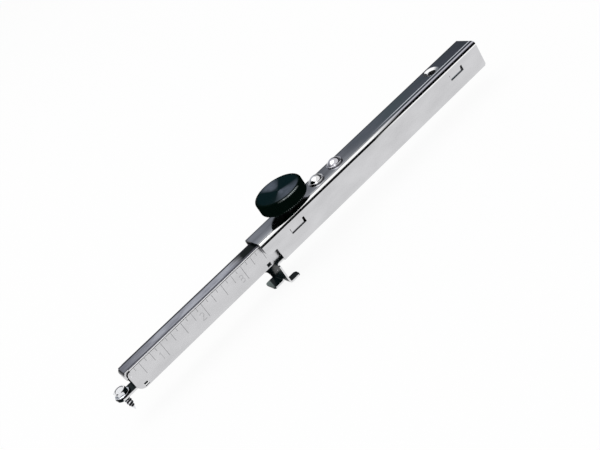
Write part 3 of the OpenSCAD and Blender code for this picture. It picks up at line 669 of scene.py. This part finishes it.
def finish_shading(piece):
    """Smooth shading that keeps edges over an angle sharp."""
    piece.data.shade_smooth()
    piece.data.set_sharp_from_angle(angle=SHARP_ANGLE)
    weighted = piece.modifiers.new("weighted", "WEIGHTED_NORMAL")
    weighted.keep_sharp = True
    weighted.weight = 100


def stand_in(name, node, bm, materials):
    """Turns a bmesh into a piece that rides on a node's body and stands in the node's place."""
    piece = add_object(name, bm)
    finish_shading(piece)
    for finish in materials:
        piece.data.materials.append(finish)
    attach(piece, BODY_OF[node])
    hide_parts(node)


def dress(node, materials, bevel, edge_test=None, cut_test=None):
    """Stands a copy of a CAD node in its place, with small rounded edges and its cut faces marked."""
    bm = bmesh.new()
    bm.from_mesh(frame["nodes"][node].data)
    bmesh.ops.remove_doubles(bm, verts=bm.verts, dist=WELD_DISTANCE)
    bmesh.ops.dissolve_limit(bm, angle_limit=FLAT_ANGLE, verts=bm.verts, edges=bm.edges)
    rounded = [edge for edge in bm.edges
               if edge.is_manifold and edge.calc_face_angle() > CORNER_ANGLE
               and (edge_test is None or edge_test(edge))]
    bmesh.ops.bevel(bm, geom=rounded, offset=bevel, segments=2, profile=0.5, affect="EDGES",
                    clamp_overlap=True)
    if cut_test is not None:
        bm.normal_update()
        for face in bm.faces:
            face.material_index = 1 if cut_test(face.normal, face.calc_center_median()) else 0
    stand_in(node + "_finished", node, bm, materials)


def round_steps(count):
    """The angles of so many equal steps round a circle."""
    return [i * 2 * math.pi / count for i in range(count)]


def polar(centre, radius, angle, z):
    """The point at a radius, an angle and a height from a vertical axis."""
    return Vector((centre.x + radius * math.cos(angle), centre.y + radius * math.sin(angle), z))


def tube(bm, rings):
    """Joins closed rings of points with faces and gives the rows of their corners."""
    rows = [[bm.verts.new(point) for point in ring] for ring in rings]
    count = len(rows[0])
    for low, high in zip(rows, rows[1:]):
        for i in range(count):
            j = (i + 1) % count
            bm.faces.new((low[i], low[j], high[j], high[i]))
    return rows


def skin(bm, rings):
    """Joins closed rings of points into a tube and caps its ends."""
    rows = tube(bm, rings)
    bm.faces.new(list(reversed(rows[0])))
    bm.faces.new(rows[-1])


def lathe(bm, centre, profile):
    """Turns a profile of (radius, height) pairs about a vertical axis."""
    angles = round_steps(LATHE_SIDES)
    skin(bm, [[polar(centre, radius, a, height) for a in angles] for radius, height in profile])


def arc(centre, radius, start, end, steps):
    """Points (radius, height) along an arc of a lathe profile, angles in degrees."""
    points = []
    for i in range(steps + 1):
        angle = math.radians(start + (end - start) * i / steps)
        points.append((centre[0] + radius * math.cos(angle), centre[1] + radius * math.sin(angle)))
    return points


def make_knob():
    """Knob with rounded knurl teeth, a chamfered rim, a dished turned face and a centre pip."""
    low, high = corners("clamp_knob")
    mid = (low + high) / 2
    radius = (high.x - low.x) / 2
    body_low = high.z - KNOB_HEIGHT
    tooth = 0.42 * MM
    chamfer = 0.9 * MM
    dish_r = radius - 1.9 * MM
    dish_depth = 0.7 * MM
    rim_drop = 0.12 * MM
    pip_r = 0.9 * MM

    def ring(mean_r, z, share):
        points = []
        for i, a in enumerate(round_steps(KNURL_COUNT * TOOTH_SIDES)):
            wave = 0.5 - 0.5 * math.cos(i * 2 * math.pi / TOOTH_SIDES)
            points.append(polar(mid, mean_r - tooth * share * wave ** 0.8, a, z))
        return points

    rings = [
        ring(HUB_RADIUS - 0.3 * MM, low.z, 0),
        ring(HUB_RADIUS, low.z + 0.3 * MM, 0),
        ring(HUB_RADIUS, body_low, 0),
        ring(radius - chamfer - 1.2 * MM, body_low, 0),
        ring(radius - chamfer * 1.1, body_low, 0.1),
        ring(radius - chamfer * 0.5, body_low + chamfer * 0.35, 0.5),
        ring(radius, body_low + chamfer, 1),
        ring(radius, high.z - chamfer, 1),
        ring(radius - chamfer * 0.45, high.z - chamfer * 0.32, 0.6),
        ring(radius - chamfer, high.z, 0.15),
        ring(radius - chamfer - 0.5 * MM, high.z, 0),
        ring(dish_r, high.z - rim_drop, 0)]
    for i in range(1, DISH_STEPS):
        share = i / DISH_STEPS
        r = dish_r * (1 - share) + pip_r * share
        z = high.z - rim_drop - (dish_depth - rim_drop) * math.sin(share * math.pi / 2)
        rings.append(ring(r, z, 0))
    floor_z = high.z - dish_depth
    rings += [ring(pip_r, floor_z - 0.02 * MM, 0), ring(pip_r - 0.2 * MM, floor_z - 0.25 * MM, 0)]
    bm = bmesh.new()
    skin(bm, rings)
    stand_in("knob_finished", "clamp_knob", bm, [anodised("black_knob", low, high)])


def make_rivet(node, material):
    """Rivet head: a full dome on a wider rounded shoulder; its shank goes down to the leaf."""
    low, high = corners(node)
    head_r = (high.x - low.x) / 2
    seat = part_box("housing")[1][2]
    dome_r = head_r * 0.84
    groove = seat + (high.z - seat) * 0.30
    dome_rise = high.z - groove
    ball = (dome_r ** 2 + dome_rise ** 2) / (2 * dome_rise)
    start = math.degrees(math.asin((ball - dome_rise) / ball))
    round_r = (groove - seat) / 2
    profile = [(SHANK_RADIUS, low.z), (SHANK_RADIUS, seat)]
    profile += arc((head_r - round_r, seat + round_r), round_r, -90, 70, 8)
    profile += [(dome_r + 0.05 * MM, groove - 0.12 * MM)]
    profile += arc((0, high.z - ball), ball, start, 89, 18)
    bm = bmesh.new()
    lathe(bm, (low + high) / 2, profile)
    stand_in(node + "_finished", node, bm, [material])


def flange_profile(radius, seat):
    """The washer flange under the hex head, as (radius, height) pairs."""
    top = seat + FLANGE_HEIGHT
    return [(radius * 0.5, seat), (radius - 0.1 * MM, seat), (radius, seat + 0.1 * MM),
            (radius - 0.12 * MM, seat + FLANGE_HEIGHT * 0.4), (radius - 0.4 * MM, top - 0.05 * MM),
            (radius - 0.55 * MM, top), (radius * 0.5, top)]


def hex_rings(centre, seat, top_z):
    """The hex head, whose corners are cut where a ring's share is under 1, with a recess in its top."""
    radius = HEX_FLATS / 2 / math.cos(math.pi / 6)
    rings = []
    for share, z in ((1, seat + FLANGE_HEIGHT * 0.5), (1, top_z - 0.55 * MM), (0.965, top_z - 0.18 * MM),
                     (0.90, top_z), (0.70, top_z), (0.62, top_z - 0.22 * MM), (0.2, top_z - 0.3 * MM)):
        ring = []
        for a in round_steps(HEX_SIDES):
            flat = math.cos(math.pi / 6) / math.cos((a % (math.pi / 3)) - math.pi / 6)
            ring.append(polar(centre, radius * min(flat, share), a + HEX_TURN, z))
        rings.append(ring)
    return rings


def thread_rings(centre, low_z, top_z):
    """The cut thread, which tapers to a sharp point."""
    length = top_z - low_z
    steps = int(length / THREAD_PITCH * THREAD_STEPS)
    rings = []
    for i in range(steps + 1):
        z = low_z + length * i / steps
        taper = min(1.0, 0.12 + 0.88 * (z - low_z) / POINT_LENGTH)
        ring = []
        for a in round_steps(THREAD_SIDES):
            turn = z / THREAD_PITCH - a / (2 * math.pi)
            ridge = max(0.0, 1 - abs(turn - math.floor(turn) - 0.5) * 2 / 0.62)
            ring.append(polar(centre, (ROOT_RADIUS + (THREAD_RADIUS - ROOT_RADIUS) * ridge) * taper, a, z))
        rings.append(ring)
    return rings


def make_screw():
    """Hex washer head screw with a cut thread and a sharp point."""
    low, high = corners("scribing_screw")
    centre = (low + high) / 2
    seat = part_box("tip_holder")[1][2]
    bm = bmesh.new()
    lathe(bm, centre, flange_profile((high.x - low.x) / 2, seat))
    skin(bm, hex_rings(centre, seat, high.z))
    skin(bm, thread_rings(centre, low.z, seat + FLANGE_HEIGHT / 2))
    stand_in("screw_finished", "scribing_screw", bm, [screw_metal("zinc_screw", centre, seat, high.z)])


def where_seen(tree, plain, seen):
    """One value for diffuse rays, and another for what the camera and the metal see."""
    path = put(tree, "ShaderNodeLightPath").outputs
    direct = calculate(tree, "MAXIMUM", path["Is Camera Ray"], path["Is Glossy Ray"])
    return fade(tree, calculate(tree, "MAXIMUM", direct, path["Is Transmission Ray"]), plain, seen)


def make_world():
    """A plain world that is white where it is seen."""
    world = bpy.data.worlds.new("studio")
    bpy.context.scene.world = world
    world.use_nodes = True
    tree = world.node_tree
    background = tree.nodes["Background"]
    background.inputs["Color"].default_value = (1, 1, 1, 1)
    tree.links.new(where_seen(tree, WORLD_LEVEL, 1.0), background.inputs["Strength"])


def make_floor():
    """Pale floor that stays white and keeps a soft shadow."""
    bm = bmesh.new()
    bmesh.ops.create_grid(bm, x_segments=1, y_segments=1, size=FLOOR_HALF)
    floor = add_object("floor", bm)
    floor.location = (0, 0, cad_box[0][2] - FLOOR_GAP)
    material, tree, shader = new_material("floor_paper")
    shader.inputs["Base Color"].default_value = (FLOOR_GREY, FLOOR_GREY, FLOOR_GREY, 1)
    shader.inputs["Roughness"].default_value = 0.9
    shader.inputs["Specular IOR Level"].default_value = 0.0
    glow = put(tree, "ShaderNodeEmission")
    glow.inputs["Color"].default_value = (1, 1, 1, 1)
    mix = put(tree, "ShaderNodeMixShader")
    share, paper, light = mix.inputs
    tree.links.new(where_seen(tree, 0.0, FLOOR_WHITE), share)
    tree.links.new(shader.outputs[0], paper)
    tree.links.new(glow.outputs[0], light)
    tree.links.new(mix.outputs[0], tree.nodes["Material Output"].inputs["Surface"])
    floor.data.materials.append(material)


def flag_colour(tree):
    """The flags' greys by the heading round their ring, with a cool tint."""
    gradient = put(tree, "ShaderNodeTexGradient", gradient_type="RADIAL")
    tree.links.new(object_place(tree), gradient.inputs["Vector"])
    ramp = put(tree, "ShaderNodeValToRGB")
    stops = ramp.color_ramp.elements
    for index, (share, grey) in enumerate(FLAG_GREYS):
        stop = stops[index] if index < 2 else stops.new(share)
        stop.position = share
        stop.color = (*(grey * part for part in COOL_TINT), 1)
    tree.links.new(gradient.outputs["Fac"], ramp.inputs["Fac"])
    return ramp.outputs["Color"]


def make_flags():
    """A ring of grey studio flags with an open white top, which only the metal reflects."""
    bm = bmesh.new()
    base, top = FLAG_HEIGHTS
    angles = round_steps(LATHE_SIDES)
    tube(bm, [[polar(Vector(), FLAG_RADIUS, a, z) for a in angles] for z in (top, base)])
    flags = add_object("flags", bm)
    material, tree, shader = new_material("flags_cloth")
    tree.nodes.remove(shader)
    glow = put(tree, "ShaderNodeEmission")
    tree.links.new(flag_colour(tree), glow.inputs["Color"])
    tree.links.new(glow.outputs[0], tree.nodes["Material Output"].inputs["Surface"])
    flags.data.materials.append(material)
    flags.visible_camera = False
    flags.visible_diffuse = False
    flags.visible_shadow = False


def make_lights():
    """One large soft light above and one weak one at the front, both turned to the middle."""
    for name, at, size, power in LAMPS:
        data = bpy.data.lights.new(name, "AREA")
        data.size = size
        data.energy = power
        lamp = bpy.data.objects.new(name, data)
        lamp.location = at
        lamp.rotation_euler = (-Vector(at)).to_track_quat("-Z", "Y").to_euler()
        bpy.context.scene.collection.objects.link(lamp)


def away_from_scale(low, high):
    """A test for the ruler's edges that get rounded: those away from the engraving."""
    def test(edge):
        below = all(vert.co.z < low.z + 3.4 * MM for vert in edge.verts)
        tip = all(vert.co.x < low.x + 4.5 * MM and vert.co.z > high.z - 5 * MM for vert in edge.verts)
        return below or tip

    return test


def guide_cut(normal, at):
    """Cut faces of the guide's sheet and of its small hole, which stay bright."""
    in_hole = (at.yz - GUIDE_HOLE).length < 0.7 * MM and abs(normal.x) < 0.3
    return in_hole or abs(normal.y) > SQUARE and at.y < 5.5 * MM


def housing_cut(normal, at):
    """The housing's cut end at the near side, given the dark sheet as painted shade so that it reads
    black.
    """
    return normal.x < -SQUARE and at.x < 0


def holder_cut(normal, at):
    """The long cut front edge of the holder's strip."""
    return normal.y < -SQUARE and at.z > 8.3 * MM


def main():
    """Sets the studio, dresses the nodes and stands the detailed pieces in their places."""
    add_camera()
    make_world()
    make_floor()
    make_flags()
    make_lights()
    cut_edge = plain_metal("cut_edge", CUT_EDGE, rough=0.25)
    # The housing's cut end takes the dark sheet as painted shade
    housing = [housing_metal("bright_plate", *corners("housing")), dark_sheet("housing_end")]
    dress("housing", housing, 0.08 * MM, cut_test=housing_cut)
    dress("edge_guide", [guide_metal("guide_plate"), cut_edge], 0.10 * MM, cut_test=guide_cut)
    channel = sheet_metal("channel_steel", CHANNEL, dark_share=0.9, rough_low=0.2, rough_high=0.3)
    dress("floor_channel", [channel], 0.05 * MM)
    low, high = corners("ruler")
    ruler = [engraved_metal("satin_plate", RULER_FACE_Y, low, high)]
    dress("ruler", ruler, 0.08 * MM, edge_test=away_from_scale(low, high))
    dress("tip_holder", [dark_sheet("holder_plate"), cut_edge], 0.08 * MM, cut_test=holder_cut)
    make_screw()
    make_knob()
    make_rivet("rivet_front", plain_metal("rivet_front_bright", FRONT_RIVET, rough=0.07))
    # The rear rivet's darker colour is painted shade
    make_rivet("rivet_rear", plain_metal("rivet_rear_painted_shade", REAR_RIVET_SHADED, rough=0.10))
    for node, colour, rough in SMALL_PIECES:
        data = frame["nodes"][node].data
        data.materials.clear()
        data.materials.append(plain_metal(node + "_metal", colour, rough))


main()
bpy.context.scene.view_settings.view_transform = "Standard"
